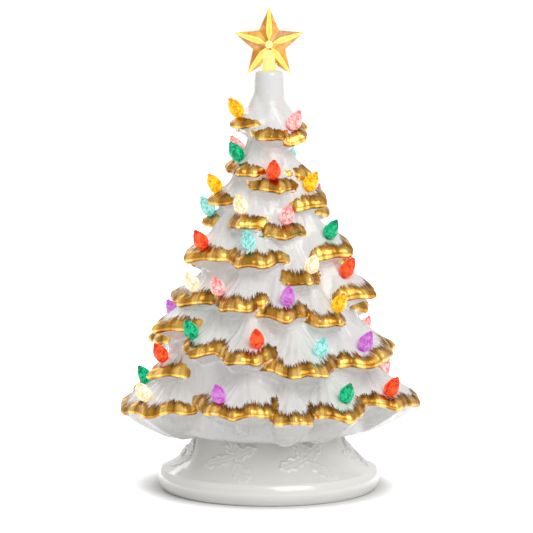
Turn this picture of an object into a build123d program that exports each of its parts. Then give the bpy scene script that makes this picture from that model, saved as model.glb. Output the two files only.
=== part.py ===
from build123d import *
import os
from math import copysign, cos, radians, sin

# Lighted ceramic table tree: a glazed hollow tree with gilt boughs on a ceramic foot.
# Millimetres, +Z up. The origin is the centre of the foot ring on the table, and the front faces -Y.
# An azimuth is counted from the front (-Y) towards the right (+X), in degrees.

os.makedirs("parts", exist_ok=True)

# Overall sizes of the tree
tree_height = 380.0
seat_height = 48.0
neck_top_height = 331.0
skirt_radius = 122.0
wall = 4.5
tree_mouth_radius = 53.5

full_turn = 360.0

# Fits and gaps
running_gap = 0.05
loose_gap = 0.4
overrun = 1.0

# Trunk cone that the boughs grow from, as shares of the shell height and the skirt radius
core_sides = 20
core_shares = [(0.0, 0.52), (0.025, 0.68), (0.1, 0.72), (0.24, 0.655), (0.345, 0.53), (0.455, 0.415),
               (0.6, 0.29), (0.75, 0.16), (0.86, 0.122)]

# Neck above the topmost boughs
neck_foot_height = 283.0
neck_foot_radius = 15.5
neck_middle_height = 305.0
neck_middle_radius = 12.3
neck_top_radius = 11.2
neck_round = 3.2
neck_bore_depth = 24.0

# Boughs. One row: azimuth, tip height share, tip radius share, reach share, half width share,
# roll in degrees (the side towards the front sinks) and count of lobes along the lip
bough_shares = [
    (-70, 0.842, 0.262, 0.22, 0.168, 0, 3), (2, 0.812, 0.275, 0.22, 0.140, 0, 3),
    (58, 0.806, 0.275, 0.22, 0.151, 20, 3), (124, 0.830, 0.265, 0.22, 0.190, 0, 3),
    (-152, 0.820, 0.265, 0.22, 0.200, 0, 3),
    (-38, 0.712, 0.310, 0.25, 0.151, 0, 3), (10, 0.672, 0.325, 0.26, 0.185, 0, 4),
    (68, 0.702, 0.295, 0.25, 0.168, 0, 3), (124, 0.690, 0.315, 0.25, 0.190, 0, 3),
    (-178, 0.700, 0.320, 0.26, 0.202, 0, 3), (-112, 0.716, 0.295, 0.25, 0.213, 0, 3),
    (-78, 0.628, 0.400, 0.30, 0.185, 0, 3), (-28, 0.572, 0.412, 0.30, 0.168, 0, 3),
    (14, 0.548, 0.425, 0.30, 0.196, 0, 4), (60, 0.630, 0.412, 0.31, 0.207, 16, 4),
    (112, 0.590, 0.420, 0.31, 0.235, 0, 3), (166, 0.610, 0.425, 0.31, 0.240, 0, 3),
    (-140, 0.580, 0.425, 0.31, 0.235, 0, 3), (-98, 0.562, 0.435, 0.33, 0.146, 0, 3),
    (-64, 0.480, 0.590, 0.40, 0.263, 0, 4), (-13, 0.474, 0.548, 0.38, 0.241, 0, 5),
    (26, 0.424, 0.590, 0.40, 0.179, 0, 3), (65, 0.496, 0.582, 0.40, 0.235, 14, 4),
    (112, 0.450, 0.585, 0.40, 0.280, 0, 3), (160, 0.475, 0.590, 0.40, 0.290, 0, 3),
    (-152, 0.445, 0.585, 0.40, 0.270, 0, 3), (-108, 0.450, 0.550, 0.38, 0.235, 0, 3),
    (-62, 0.360, 0.640, 0.40, 0.230, 0, 4), (-20, 0.360, 0.675, 0.41, 0.241, 0, 5),
    (9, 0.337, 0.705, 0.43, 0.207, 0, 4), (38, 0.314, 0.735, 0.43, 0.185, 0, 3),
    (72, 0.380, 0.715, 0.43, 0.218, 12, 4), (112, 0.318, 0.705, 0.43, 0.270, 0, 3),
    (158, 0.345, 0.715, 0.43, 0.290, 0, 3), (-156, 0.325, 0.710, 0.43, 0.280, 0, 3),
    (-110, 0.345, 0.685, 0.42, 0.270, 0, 3),
    (-70, 0.286, 0.780, 0.43, 0.241, 0, 4), (-38, 0.238, 0.803, 0.43, 0.241, 0, 4),
    (-12, 0.227, 0.852, 0.45, 0.241, 0, 5), (17, 0.194, 0.885, 0.47, 0.308, 0, 5),
    (60, 0.212, 0.870, 0.47, 0.336, 12, 5), (108, 0.205, 0.865, 0.45, 0.330, 0, 4),
    (154, 0.235, 0.860, 0.45, 0.330, 0, 4), (-160, 0.202, 0.870, 0.45, 0.330, 0, 4),
    (-112, 0.225, 0.845, 0.45, 0.320, 0, 4),
    (-66, 0.162, 0.838, 0.43, 0.213, 0, 4), (-124, 0.130, 0.860, 0.43, 0.269, 0, 3),
    (122, 0.130, 0.860, 0.43, 0.269, 0, 3),
    (-72, 0.062, 1.005, 0.53, 0.480, 0, 6), (-14, 0.088, 0.965, 0.50, 0.347, 0, 6),
    (10, 0.070, 1.000, 0.50, 0.196, 0, 3), (32, 0.075, 0.995, 0.50, 0.263, 0, 4),
    (76, 0.078, 1.010, 0.53, 0.430, 0, 6), (118, 0.075, 0.990, 0.53, 0.380, 0, 4),
    (166, 0.062, 1.000, 0.53, 0.400, 0, 4), (-122, 0.075, 0.990, 0.53, 0.450, 0, 5),
]
# Section of a bough from the crown of its ridge to its underside, as shares of its reach:
# (size share, height share). It starts and ends in a point on the bough's own axis.
bough_crown_share = 0.76
bough_root_share = 0.62
bough_ring_shares = [(0.50, 0.325), (0.955, 0.115), (1.0, 0.03)]
bough_tilt = 9.0
bough_low_steepness = 0.86
bough_high_steepness = 1.50
bough_squareness = 2.25
lobe_depth_share = 0.05
lobe_droop_share = 0.045
lip_half_angle = 108.0

# Hollow inside a bough
hollow_sides = 4
hollow_crown_share = 0.50
hollow_root_share = 0.55
hollow_rim_share = 0.045
hollow_size_share = 0.74
hollow_least_reach = 50.0

# Twist bulbs. One row: azimuth, seat height share, seat radius share and colour
bulb_radius = 5.9
bulb_length = 17.5
bulb_sides = 6
bulb_twist = 30.0
bulb_lean = 32.0
bulb_ring_shares = [(0.30, 1.0), (0.68, 0.84), (1.0, 0.24)]
peg_radius = 2.2
peg_length = 7.0
light_hole_depth = 13.0
bulb_seat_gap = 0.25
upper_zone_share = 0.55
middle_zone_share = 0.32
bulb_shares = [
    (-70, 0.870, 0.190, "yellow"), (48, 0.877, 0.240, "pink"), (-112, 0.800, 0.245, "pink"),
    (-69, 0.784, 0.240, "green"), (6, 0.728, 0.265, "red"), (150, 0.735, 0.240, "aqua"),
    (-80, 0.661, 0.320, "yellow"), (54, 0.687, 0.320, "yellow"), (-33, 0.641, 0.340, "clear"),
    (19, 0.606, 0.350, "pink"), (-98, 0.588, 0.360, "aqua"), (126, 0.630, 0.340, "purple"),
    (164, 0.640, 0.340, "green"), (-148, 0.620, 0.340, "red"), (57, 0.565, 0.470, "green"),
    (-17, 0.545, 0.450, "aqua"), (-56, 0.507, 0.480, "red"), (31, 0.454, 0.490, "clear"),
    (128, 0.500, 0.480, "yellow"), (160, 0.520, 0.480, "pink"), (-152, 0.500, 0.480, "clear"),
    (64, 0.446, 0.540, "red"), (-60, 0.417, 0.560, "clear"), (-35, 0.414, 0.560, "pink"),
    (11, 0.390, 0.600, "purple"), (44, 0.361, 0.620, "yellow"), (-107, 0.336, 0.680, "purple"),
    (126, 0.370, 0.600, "aqua"), (158, 0.400, 0.600, "red"), (-156, 0.375, 0.600, "yellow"),
    (-45, 0.295, 0.690, "green"), (-6, 0.294, 0.740, "red"), (26, 0.282, 0.770, "aqua"),
    (53, 0.263, 0.760, "purple"), (124, 0.250, 0.750, "pink"), (154, 0.285, 0.740, "clear"),
    (-160, 0.250, 0.750, "green"), (-126, 0.270, 0.720, "yellow"), (-68, 0.212, 0.730, "red"),
    (-62, 0.081, 0.840, "clear"), (-94, 0.106, 0.760, "green"), (-21, 0.127, 0.850, "purple"),
    (34, 0.129, 0.850, "green"), (62, 0.115, 0.850, "red"), (123, 0.070, 0.820, "pink"),
    (166, 0.115, 0.860, "aqua"), (-130, 0.125, 0.840, "purple"),
]

# Star
star_radius = 28.7
star_centre_height = tree_height - star_radius
star_notch_radius = 13.2
star_points = 5
star_rim_thickness = 3.0
star_thickness = 13.0
star_knob_radius = 3.4
star_knob_rise = 1.6
star_rib_width = 2.2
star_rib_rise = 0.9
star_rib_end_share = 0.93
stem_radius = 4.9
stem_depth = 15.0
collar_radius = 6.2
collar_height = 2.4

# Ceramic foot
turned_sides = 48
rim_facets = 4
flare_facets = 6
foot_ring_radius = 83.0
foot_bulge_radius = 88.0
foot_bulge_height = 7.5
foot_band_radius = 85.0
foot_band_height = 17.0
foot_flare_radius = 70.0
foot_flare_height = 27.0
foot_neck_radius = 57.5
foot_wall = 5.0
foot_deck = 5.0
deck_drop = 1.0
collar_ring_radius = 50.0
collar_ring_height = 7.0
collar_ring_wall = 4.0
deck_hole_radius = 22.0
ledge_radius = 70.0
ledge_height = 8.0
foot_bore_radius = 76.0

# Plastic plate that closes the foot from below, and the battery box on it
plate_gap = 0.5
plate_thickness = 3.0
box_wall = 1.6
battery_radius = 7.1
battery_length = 49.2
battery_sides = 24
battery_button_radius = 2.6
battery_button_height = 1.0
battery_count = 3
battery_spacing = 15.0
contact_gap = 1.2
contact_strip_thickness = 0.5
contact_boss_radius = 2.4
contact_boss_sides = 6
rest_gap = 0.3

# Battery door and its hinge pin
door_thickness = 2.0
door_recess = 0.4
door_edge_gap = 0.6
door_barrel_radius = 1.4
door_barrel_share = 0.7
hinge_pin_radius = 0.6
hinge_pin_seat = 2.5
finger_notch_width = 12.0
finger_notch_depth = 3.0

# Slide switch
switch_place = 43.0
switch_travel = 5.0
switch_knob_length = 4.4
switch_knob_width = 4.0
switch_knob_drop = 0.8
switch_head_length = 8.0
switch_head_width = 6.4
switch_head_thickness = 1.6
switch_housing_wall = 1.6
switch_housing_height = 7.0

# Control board
board_place = 45.0
board_length = 22.0
board_width = 14.0
board_thickness = 1.4
board_rib_height = 1.5
board_rib_width = 2.0
chip_length = 7.0
chip_width = 5.0
chip_height = 1.8

# Lamp post inside the tree
post_height = 150.0
post_foot_width = 24.0
post_foot_thickness = 2.0
post_low_width = 10.0
post_high_width = 7.6
post_wall = 1.3
lamp_board_width = 18.0
lamp_board_thickness = 1.4
lamp_radius = 1.5
lamp_spacing = 5.2
lamp_sides = 6
lamp_ring_shares = [(0.0, 1.0), (0.7, 1.0), (1.0, 0.35)]
lamp_length = 5.2
lead_radius = 0.6
lead_sides = 6
lead_spacing = 1.6


def around(radius, azimuth, height):
    """The point at a radius and an azimuth, at a height."""
    turn = radians(azimuth)
    return Vector(radius * sin(turn), -radius * cos(turn), height)


def shell_height(share):
    return seat_height + share * (neck_top_height - seat_height)


def turns(sides, phase=0.0):
    """The angles of a regular polygon's corners, in degrees."""
    return [phase + i * full_turn / sides for i in range(sides)]


def ring_of(radius, sides, height):
    """The corners of a regular polygon about the trunk's axis."""
    return [around(radius, turn, height) for turn in turns(sides)]


def ring_on(plane, radius, sides, height, phase=0.0):
    """The corners of a regular polygon about a plane's own axis."""
    return [plane.from_local_coords(Vector(radius * cos(radians(turn)), radius * sin(radians(turn)), height))
            for turn in turns(sides, phase)]


def stacked(rings, twisted=False):
    """A solid with flat facets between rings of corners. A ring of one corner ends it in a tip, and
    where the rings are twisted against each other each facet is folded into two."""
    faces = [Face(Wire.make_polygon(ring)) for ring in (rings[0], rings[-1]) if len(ring) > 1]
    for low, high in zip(rings, rings[1:]):
        count = max(len(low), len(high))
        for i in range(count):
            near, far = low[i % len(low)], low[(i + 1) % count % len(low)]
            over, beyond = high[i % len(high)], high[(i + 1) % count % len(high)]
            if len(low) == 1:
                facets = [[near, beyond, over]]
            elif len(high) == 1:
                facets = [[near, far, over]]
            elif twisted:
                facets = [[near, far, over], [far, beyond, over]]
            else:
                facets = [[near, far, beyond, over]]
            faces += [Face(Wire.make_polygon(facet)) for facet in facets]
    return Solid(Shell(faces))


def squared(value):
    """A sine or cosine drawn out towards a rounded square."""
    return copysign(abs(value) ** (2.0 / bough_squareness), value)


class Bough:
    """One bough: a scalloped bell that leans out of the trunk, with its lip as the outline."""

    def __init__(self, row):
        azimuth, height_share, radius_share, reach_share, width_share, roll, self.lobes = row
        self.reach = reach_share * skirt_radius
        self.half_width = width_share * skirt_radius
        self.steepness = bough_high_steepness + radius_share * (bough_low_steepness - bough_high_steepness)
        outward = around(1.0, azimuth, 0.0)
        across = Vector(0, 0, 1).cross(outward)
        if azimuth < 0:
            roll = -roll
        outward = outward.rotate(Axis((0, 0, 0), tuple(across)), bough_tilt)
        across = across.rotate(Axis((0, 0, 0), tuple(outward)), roll)
        tip = around(radius_share * skirt_radius, azimuth, shell_height(height_share))
        centre = tip - outward * self.reach
        self.plane = Plane(origin=tuple(centre), x_dir=tuple(outward), z_dir=tuple(outward.cross(across)))

    def outline(self, size, height, angles, scallop):
        """One ring of the bell: the lip's outline at a size share, with its lobes."""
        points = []
        for i, angle in enumerate(angles):
            bay = scallop * (i % 2)
            spread = size * (1.0 - bay * lobe_depth_share)
            drop = -scallop * (1 - i % 2) * lobe_droop_share * size * self.reach
            points.append(Vector(self.reach * spread * squared(cos(radians(angle))),
                                 self.half_width * spread * squared(sin(radians(angle))),
                                 height * self.steepness * self.reach + drop))
        return [self.plane.from_local_coords(point) for point in points]

    def on_axis(self, share):
        return [self.plane.from_local_coords(Vector(0, 0, share * self.reach))]

    def body(self):
        steps = 2 * self.lobes
        angles = [lip_half_angle * (2.0 * i / steps - 1.0) for i in range(steps + 1)]
        rings = [self.outline(size, height, angles, 1) for size, height in bough_ring_shares]
        return stacked([self.on_axis(bough_crown_share * self.steepness)] + rings + [self.on_axis(-bough_root_share)])

    def hollow(self):
        rim = self.outline(hollow_size_share, hollow_rim_share, turns(hollow_sides), 0)
        return stacked([self.on_axis(hollow_crown_share * self.steepness), rim, self.on_axis(-hollow_root_share)])


def trunk():
    rings = [ring_of(radius * skirt_radius, core_sides, shell_height(height))
             for height, radius in core_shares]
    return stacked(rings)


def neck():
    """The smooth turned neck that carries the star."""
    shoulder_height = neck_top_height - neck_round
    with BuildSketch(Plane.XZ) as section:
        with BuildLine():
            side = ThreePointArc((neck_foot_radius, neck_foot_height), (neck_middle_radius, neck_middle_height),
                                 (neck_top_radius, shoulder_height))
            shoulder = RadiusArc(side @ 1, (neck_top_radius - neck_round, neck_top_height), -neck_round)
            Polyline(shoulder @ 1, (0, neck_top_height), (0, neck_foot_height), side @ 0)
        make_face()
    return revolve(section.sketch, Axis.Z).solid()


def shell_outside():
    """Trunk, neck and boughs grown into one, cut level where the tree stands on its foot."""
    grown = trunk().fuse(*[Bough(row).body() for row in bough_shares])
    grown = grown.fuse(neck())
    return split(grown, bisect_by=Plane.XY.offset(seat_height), keep=Keep.TOP).solid()


def shell_inside():
    """The space in the shell: a faceted cone, a pocket in each large bough and the bore of the neck."""
    rings = [ring_of(radius * skirt_radius - wall, core_sides, shell_height(height))
             for height, radius in core_shares[1:]]
    mouth = ring_of(tree_mouth_radius, core_sides, seat_height - overrun)
    space = stacked([mouth] + rings)
    boughs = [Bough(row) for row in bough_shares]
    pockets = [bough.hollow() for bough in boughs if bough.reach > hollow_least_reach]
    bore = Solid.make_cylinder(stem_radius + running_gap, neck_bore_depth + overrun,
                               Plane.XY.offset(neck_top_height - neck_bore_depth))
    return space.fuse(*pockets, bore)


class Bulb:
    """A twist bulb on its own axis, which leans out from the tree, seated where that axis leaves the glaze."""

    def __init__(self, row, shell):
        azimuth, height_share, radius_share, self.colour = row
        self.height_share = height_share
        outward = around(1.0, azimuth, 0.0)
        lean = radians(bulb_lean)
        axis = outward * sin(lean) + Vector(0, 0, 1) * cos(lean)
        aim = around(radius_share * skirt_radius, azimuth, shell_height(height_share))
        hits = [point for point, normal in shell.find_intersection_points(Axis(aim, axis))
                if normal.dot(axis) > 0]
        seat = min(hits, key=lambda point: (point - aim).length)
        side = Vector(0, 0, 1).cross(outward)
        self.plane = Plane(origin=seat, x_dir=side, z_dir=axis)

    def ring(self, radius, height, phase=0.0):
        return ring_on(self.plane, radius, bulb_sides, height, phase)

    def hole(self):
        """The hole that the peg stands in and the light comes through."""
        radius = peg_radius + loose_gap
        return stacked([self.ring(radius, -light_hole_depth), self.ring(radius, bulb_radius)])

    def body(self):
        peg_end = self.ring(peg_radius, -peg_length)
        peg_top = self.ring(peg_radius, bulb_seat_gap)
        rings = [self.ring(radius * bulb_radius, bulb_seat_gap + height * bulb_length, (i + 1) * bulb_twist)
                 for i, (height, radius) in enumerate(bulb_ring_shares)]
        return stacked([peg_end, peg_top] + rings, twisted=True)


def star_outline(front):
    """The star's ten corners in the plane that faces the viewer, at a distance towards the front."""
    corners = []
    for i in range(2 * star_points):
        radius = star_notch_radius if i % 2 else star_radius
        turn = radians(i * full_turn / (2 * star_points))
        corners.append(Vector(radius * sin(turn), -front, star_centre_height + radius * cos(turn)))
    return corners


def star_rib(number, face):
    """The raised crest along one arm, on the front (1) or the back (-1)."""
    turn = radians(number * full_turn / star_points)
    along = Vector(sin(turn), 0, cos(turn))
    across = Vector(cos(turn), 0, -sin(turn))
    forward = Vector(0, -face, 0)
    centre = Vector(0, 0, star_centre_height)
    root = centre + along * star_knob_radius + forward * (star_thickness / 2 - star_rib_rise)
    half = star_rib_width / 2
    base = [root - across * half - forward * half, root - forward * star_rib_width,
            root + across * half - forward * half, root + forward * star_rib_rise]
    end = centre + along * (star_radius * star_rib_end_share) + forward * (star_rim_thickness / 2)
    return stacked([base, [end]])


def star_topper():
    """The star with its crested arms, centre knob, stem and the collar that rests on the neck."""
    half = star_thickness / 2
    rim = star_rim_thickness / 2
    star = stacked([[Vector(0, -half, star_centre_height)], star_outline(rim), star_outline(-rim),
                    [Vector(0, half, star_centre_height)]])
    ribs = [star_rib(i, face) for i in range(star_points) for face in (1, -1)]
    knob_plane = Plane((0, half + star_knob_rise, star_centre_height), z_dir=(0, -1, 0))
    knob = Solid.make_cylinder(star_knob_radius, star_thickness + 2 * star_knob_rise, knob_plane)
    stem_foot = neck_top_height - stem_depth
    stem = Solid.make_cylinder(stem_radius, star_centre_height - stem_foot, Plane.XY.offset(stem_foot))
    collar = Solid.make_cylinder(collar_radius, collar_height, Plane.XY.offset(neck_top_height))
    return star.fuse(*ribs, knob, stem, collar)


def turned(profile):
    """A turned solid with flat facets from (radius, height) pairs, bottom first."""
    return stacked([ring_of(radius, turned_sides, height) for radius, height in profile])


def foot_profile():
    """The outside of the foot from the table to the seat: the bulging rim band, then the flare."""
    rim = ThreePointArc((foot_ring_radius, 0), (foot_bulge_radius, foot_bulge_height),
                        (foot_band_radius, foot_band_height))
    flare = ThreePointArc(rim @ 1, (foot_flare_radius, foot_flare_height), (foot_neck_radius, seat_height))
    points = [rim @ (i / rim_facets) for i in range(rim_facets)]
    points += [flare @ (i / flare_facets) for i in range(flare_facets + 1)]
    return [(point.X, point.Y) for point in points]


def ceramic_foot():
    """The foot with its seat, the collar that centres the tree, a pierced deck and a ledge for the plate."""
    collar_top = seat_height + collar_ring_height
    inside_collar = collar_ring_radius - collar_ring_wall
    deck_top = seat_height - deck_drop
    deck_low = deck_top - foot_deck
    body = turned(foot_profile() + [(collar_ring_radius, seat_height), (collar_ring_radius, collar_top)])
    recess = turned([(inside_collar, deck_top), (inside_collar, collar_top + overrun)])
    room = turned([(ledge_radius, ledge_height - overrun), (ledge_radius, foot_band_height),
                   (foot_neck_radius - 2 * foot_wall, deck_low)])
    mouth = turned([(foot_bore_radius, -overrun), (foot_bore_radius, ledge_height)])
    deck_hole = turned([(deck_hole_radius, deck_low - overrun), (deck_hole_radius, deck_top + overrun)])
    return body.cut(recess, room, mouth, deck_hole)


def block(size, centre, low):
    """A box by its length, width and height, centred over a point, standing on a height."""
    length, width, height = size
    return Solid.make_box(length, width, height,
                          Plane((centre[0] - length / 2, centre[1] - width / 2, low)))


# Levels and reaches that the pieces in the foot share
plate_low = ledge_height - plate_thickness
box_inner_width = (battery_count - 1) * battery_spacing + 2 * (battery_radius + rest_gap)
box_inner_length = battery_length + battery_button_height + 2 * (contact_gap + contact_strip_thickness)
door_low = plate_low + door_recess
hinge_height = plate_low + plate_thickness / 2
battery_axis_height = hinge_height + door_barrel_radius + rest_gap + battery_radius
box_roof_low = battery_axis_height + battery_radius + rest_gap
box_roof_top = box_roof_low + box_wall
hinge_place = box_inner_length / 2 - door_edge_gap - door_barrel_radius
switch_slot_length = switch_knob_length + switch_travel + 2 * loose_gap
switch_room_length = switch_head_length + switch_travel + 2 * loose_gap


def base_plate():
    """The disc glued under the ledge, with the battery opening, the switch slot and two board ribs."""
    disc = turned([(foot_bore_radius - plate_gap, plate_low), (foot_bore_radius - plate_gap, ledge_height)])
    through = plate_thickness + 2 * overrun
    opening = block((box_inner_width, box_inner_length, through), (0, 0), plate_low - overrun)
    slot = block((switch_slot_length, switch_knob_width + 2 * loose_gap, through),
                 (switch_place, 0), plate_low - overrun)
    pin_length = box_inner_width + 2 * (hinge_pin_seat + running_gap)
    pin_hole = Solid.make_cylinder(hinge_pin_radius + running_gap, pin_length,
                                   Plane((-pin_length / 2, hinge_place, hinge_height), z_dir=(1, 0, 0)))
    reach = (board_length - board_rib_width) / 2
    ribs = [block((board_rib_width, board_width, board_rib_height), (-board_place + side * reach, 0),
                  ledge_height) for side in (-1, 1)]
    return disc.cut(opening, slot, pin_hole).fuse(*ribs)


def battery_box():
    height = box_roof_top - ledge_height
    outer = block((box_inner_width + 2 * box_wall, box_inner_length + 2 * box_wall, height), (0, 0),
                  ledge_height)
    room = block((box_inner_width, box_inner_length, height - box_wall + overrun), (0, 0),
                 ledge_height - overrun)
    return outer.cut(room)


def battery_door():
    """The door slab with its hinge barrel and the finger notch at the far edge."""
    far_edge = -box_inner_length / 2 + door_edge_gap
    width = box_inner_width - 2 * door_edge_gap
    length = hinge_place - far_edge
    slab = block((width, length, door_thickness), (0, (hinge_place + far_edge) / 2), door_low)
    barrel_length = width * door_barrel_share
    barrel_plane = Plane((-barrel_length / 2, hinge_place, hinge_height), z_dir=(1, 0, 0))
    barrel = Solid.make_cylinder(door_barrel_radius, barrel_length, barrel_plane)
    bore = Solid.make_cylinder(hinge_pin_radius + running_gap, width + overrun,
                               Plane((-(width + overrun) / 2, hinge_place, hinge_height), z_dir=(1, 0, 0)))
    notch = block((finger_notch_width, 2 * finger_notch_depth, door_thickness / 2), (0, far_edge), door_low)
    return slab.fuse(barrel).cut(bore, notch)


def hinge_pin():
    length = box_inner_width + 2 * hinge_pin_seat
    return Solid.make_cylinder(hinge_pin_radius, length,
                               Plane((-length / 2, hinge_place, hinge_height), z_dir=(1, 0, 0)))


def battery(number):
    """One cell, every other one turned end for end."""
    facing = 1 if number % 2 else -1
    across = (number - (battery_count + 1) / 2) * battery_spacing
    back = -facing * (battery_length + battery_button_height) / 2
    end = Plane((across, back, battery_axis_height), z_dir=(0, facing, 0))
    can = stacked([ring_on(end, battery_radius, battery_sides, height) for height in (0, battery_length)])
    button = stacked([ring_on(end, battery_button_radius, battery_sides, height)
                      for height in (battery_length / 2, battery_length + battery_button_height)])
    return can.fuse(button)


def contact_strip(side):
    """The sheet contact at one end of the box, with a boss pressed out towards each cell."""
    wall_face = side * box_inner_length / 2
    height = box_roof_low - ledge_height
    strip = block((box_inner_width, contact_strip_thickness, height),
                  (0, wall_face - side * contact_strip_thickness / 2), ledge_height)
    bosses = []
    for number in range(battery_count):
        across = (number - (battery_count - 1) / 2) * battery_spacing
        start = Plane((across, wall_face - side * contact_strip_thickness, battery_axis_height),
                      z_dir=(0, -side, 0))
        bosses.append(stacked([ring_on(start, contact_boss_radius, contact_boss_sides, 0),
                               ring_on(start, contact_boss_radius / 2, contact_boss_sides,
                                       contact_gap - rest_gap)]))
    return strip.fuse(*bosses)


def switch_housing():
    length = switch_room_length + 2 * switch_housing_wall
    width = switch_head_width + 2 * (loose_gap + switch_housing_wall)
    shell = block((length, width, switch_housing_height), (switch_place, 0), ledge_height)
    room = block((switch_room_length, switch_head_width + 2 * loose_gap,
                  switch_head_thickness + 2 * rest_gap + overrun), (switch_place, 0),
                 ledge_height - overrun)
    return shell.cut(room)


def switch_slider():
    """The slider in its lit position, at the right end of the slot."""
    place = (switch_place + switch_travel / 2, 0)
    knob_low = plate_low - switch_knob_drop
    knob = block((switch_knob_length, switch_knob_width, ledge_height + rest_gap - knob_low), place, knob_low)
    head = block((switch_head_length, switch_head_width, switch_head_thickness), place,
                 ledge_height + rest_gap)
    return knob.fuse(head)


def control_board():
    return block((board_length, board_width, board_thickness), (-board_place, 0),
                 ledge_height + board_rib_height)


def control_chip():
    return block((chip_length, chip_width, chip_height), (-board_place, 0),
                 ledge_height + board_rib_height + board_thickness)


def square_ring(width, height):
    half = width / 2
    return [Vector(across, deep, height)
            for across, deep in ((-half, -half), (half, -half), (half, half), (-half, half))]


def led_post():
    """The tapered square post on the battery box that carries the lamps up into the tree."""
    outer = stacked([square_ring(post_low_width, box_roof_top), square_ring(post_high_width, post_height)])
    inner = stacked([square_ring(post_low_width - 2 * post_wall, box_roof_top - overrun),
                     square_ring(post_high_width - 2 * post_wall, post_height + overrun)])
    foot = block((post_foot_width, post_foot_width, post_foot_thickness), (0, 0), box_roof_top)
    return outer.fuse(foot).cut(inner)


def led_board():
    return block((lamp_board_width, lamp_board_width, lamp_board_thickness), (0, 0), post_height)


def led_lamps():
    """Five small lamps on the board, one in the middle and one towards each side."""
    lamps = []
    for across, deep in ((0, 0), (1, 0), (-1, 0), (0, 1), (0, -1)):
        place = Plane((across * lamp_spacing, deep * lamp_spacing, post_height + lamp_board_thickness))
        lamps.append(stacked([ring_on(place, lamp_radius * size, lamp_sides, share * lamp_length)
                              for share, size in lamp_ring_shares]))
    return Compound(lamps)


def lead(start, length):
    """A straight run of thin insulated wire from the face that a plane lies on."""
    return stacked([ring_on(start, lead_radius, lead_sides, height) for height in (0, length)])


def lamp_lead(side):
    """A lead that runs up inside the post from the box to the lamp board."""
    return lead(Plane((side * lead_spacing / 2, 0, box_roof_top)), post_height - box_roof_top)


def short_leads(start, end, height):
    """Two straight leads side by side, between two faces that look at each other along X."""
    return Compound([lead(Plane((min(start, end), side * lead_spacing, height), z_dir=(1, 0, 0)),
                          abs(end - start)) for side in (-1, 1)])


def write(name, shape):
    export_step(shape, f"parts/{name}.step")


def zone(bulb):
    """The third of the tree that a bulb sits in."""
    if bulb.height_share > upper_zone_share:
        return "upper"
    return "middle" if bulb.height_share > middle_zone_share else "lower"


outside = shell_outside()
bulbs = [Bulb(row, outside) for row in bulb_shares]
write("tree_shell", outside.cut(shell_inside(), *[bulb.hole() for bulb in bulbs]))
for group in sorted({(zone(bulb), bulb.colour) for bulb in bulbs}):
    same = [bulb.body() for bulb in bulbs if (zone(bulb), bulb.colour) == group]
    write("bulbs_" + group[0] + "_" + group[1], Compound(same))
write("star_topper", star_topper())
write("ceramic_foot", ceramic_foot())
write("base_plate", base_plate())
write("battery_box", battery_box())
write("battery_door", battery_door())
write("hinge_pin", hinge_pin())
for number in range(1, battery_count + 1):
    write(f"battery_{number}", battery(number))
write("contact_strip_front", contact_strip(-1))
write("contact_strip_rear", contact_strip(1))
write("switch_housing", switch_housing())
write("switch_slider", switch_slider())
write("control_board", control_board())
write("control_chip", control_chip())
write("led_post", led_post())
write("led_board", led_board())
write("led_lamps", led_lamps())
write("lamp_lead_red", lamp_lead(1))
write("lamp_lead_black", lamp_lead(-1))
box_side = box_inner_width / 2 + box_wall
switch_side = switch_place - switch_room_length / 2 - switch_housing_wall
write("switch_leads", short_leads(box_side, switch_side, ledge_height + switch_housing_height / 2))
write("board_leads", short_leads(-box_side, board_length / 2 - board_place,
                                 ledge_height + board_rib_height + board_thickness / 2))
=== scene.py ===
from math import cos, pi, radians, sin

import bmesh
import bpy
import numpy as np
from mathutils import Matrix, Vector
from mathutils.bvhtree import BVHTree


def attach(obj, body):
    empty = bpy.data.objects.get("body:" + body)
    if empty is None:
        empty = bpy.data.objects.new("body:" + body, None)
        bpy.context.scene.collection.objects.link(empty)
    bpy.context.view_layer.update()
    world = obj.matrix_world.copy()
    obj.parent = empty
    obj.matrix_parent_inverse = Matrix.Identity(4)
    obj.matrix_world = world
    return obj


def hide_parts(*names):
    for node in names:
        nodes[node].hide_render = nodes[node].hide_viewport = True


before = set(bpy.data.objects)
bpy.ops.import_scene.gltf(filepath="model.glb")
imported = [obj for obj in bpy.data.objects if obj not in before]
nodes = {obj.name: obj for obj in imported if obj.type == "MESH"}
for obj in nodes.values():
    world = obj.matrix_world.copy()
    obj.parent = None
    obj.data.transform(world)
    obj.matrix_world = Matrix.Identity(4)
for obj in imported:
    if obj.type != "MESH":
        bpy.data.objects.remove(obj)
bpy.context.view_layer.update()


# Studio. The tree stands on a plain white table and is seen from a little above, from far away,
# under one large soft lamp high on the right, weak ones on the left and behind, and a pale room.
pixels_per_metre = 1268.0
frame_pixels = 533.0
looked_at = Vector((-0.002, 0.0, 0.176))
seen_from = Vector((0.0, -2.5, 0.48))
lamp_aim = (0.0, 0.0, 0.2)
room_light, room_seen = 0.5, 1.0

camera_data = bpy.data.cameras.new("camera")
camera_data.sensor_width = 36.0
frames_per_metre = pixels_per_metre / frame_pixels
camera_data.lens = frames_per_metre * (looked_at - seen_from).length * camera_data.sensor_width
camera = bpy.data.objects.new("camera", camera_data)
camera.location = seen_from
camera.rotation_euler = (looked_at - seen_from).to_track_quat("-Z", "Y").to_euler()
bpy.context.collection.objects.link(camera)
bpy.context.scene.camera = camera
bpy.context.scene.view_settings.view_transform = "Standard"


def soft_lamp(name, place, size, watts):
    data = bpy.data.lights.new(name, "AREA")
    data.shape = "RECTANGLE"
    data.size, data.size_y = size
    data.energy = watts
    lamp = bpy.data.objects.new(name, data)
    lamp.location = place
    lamp.rotation_euler = (Vector(lamp_aim) - Vector(place)).to_track_quat("-Z", "Y").to_euler()
    bpy.context.collection.objects.link(lamp)


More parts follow.
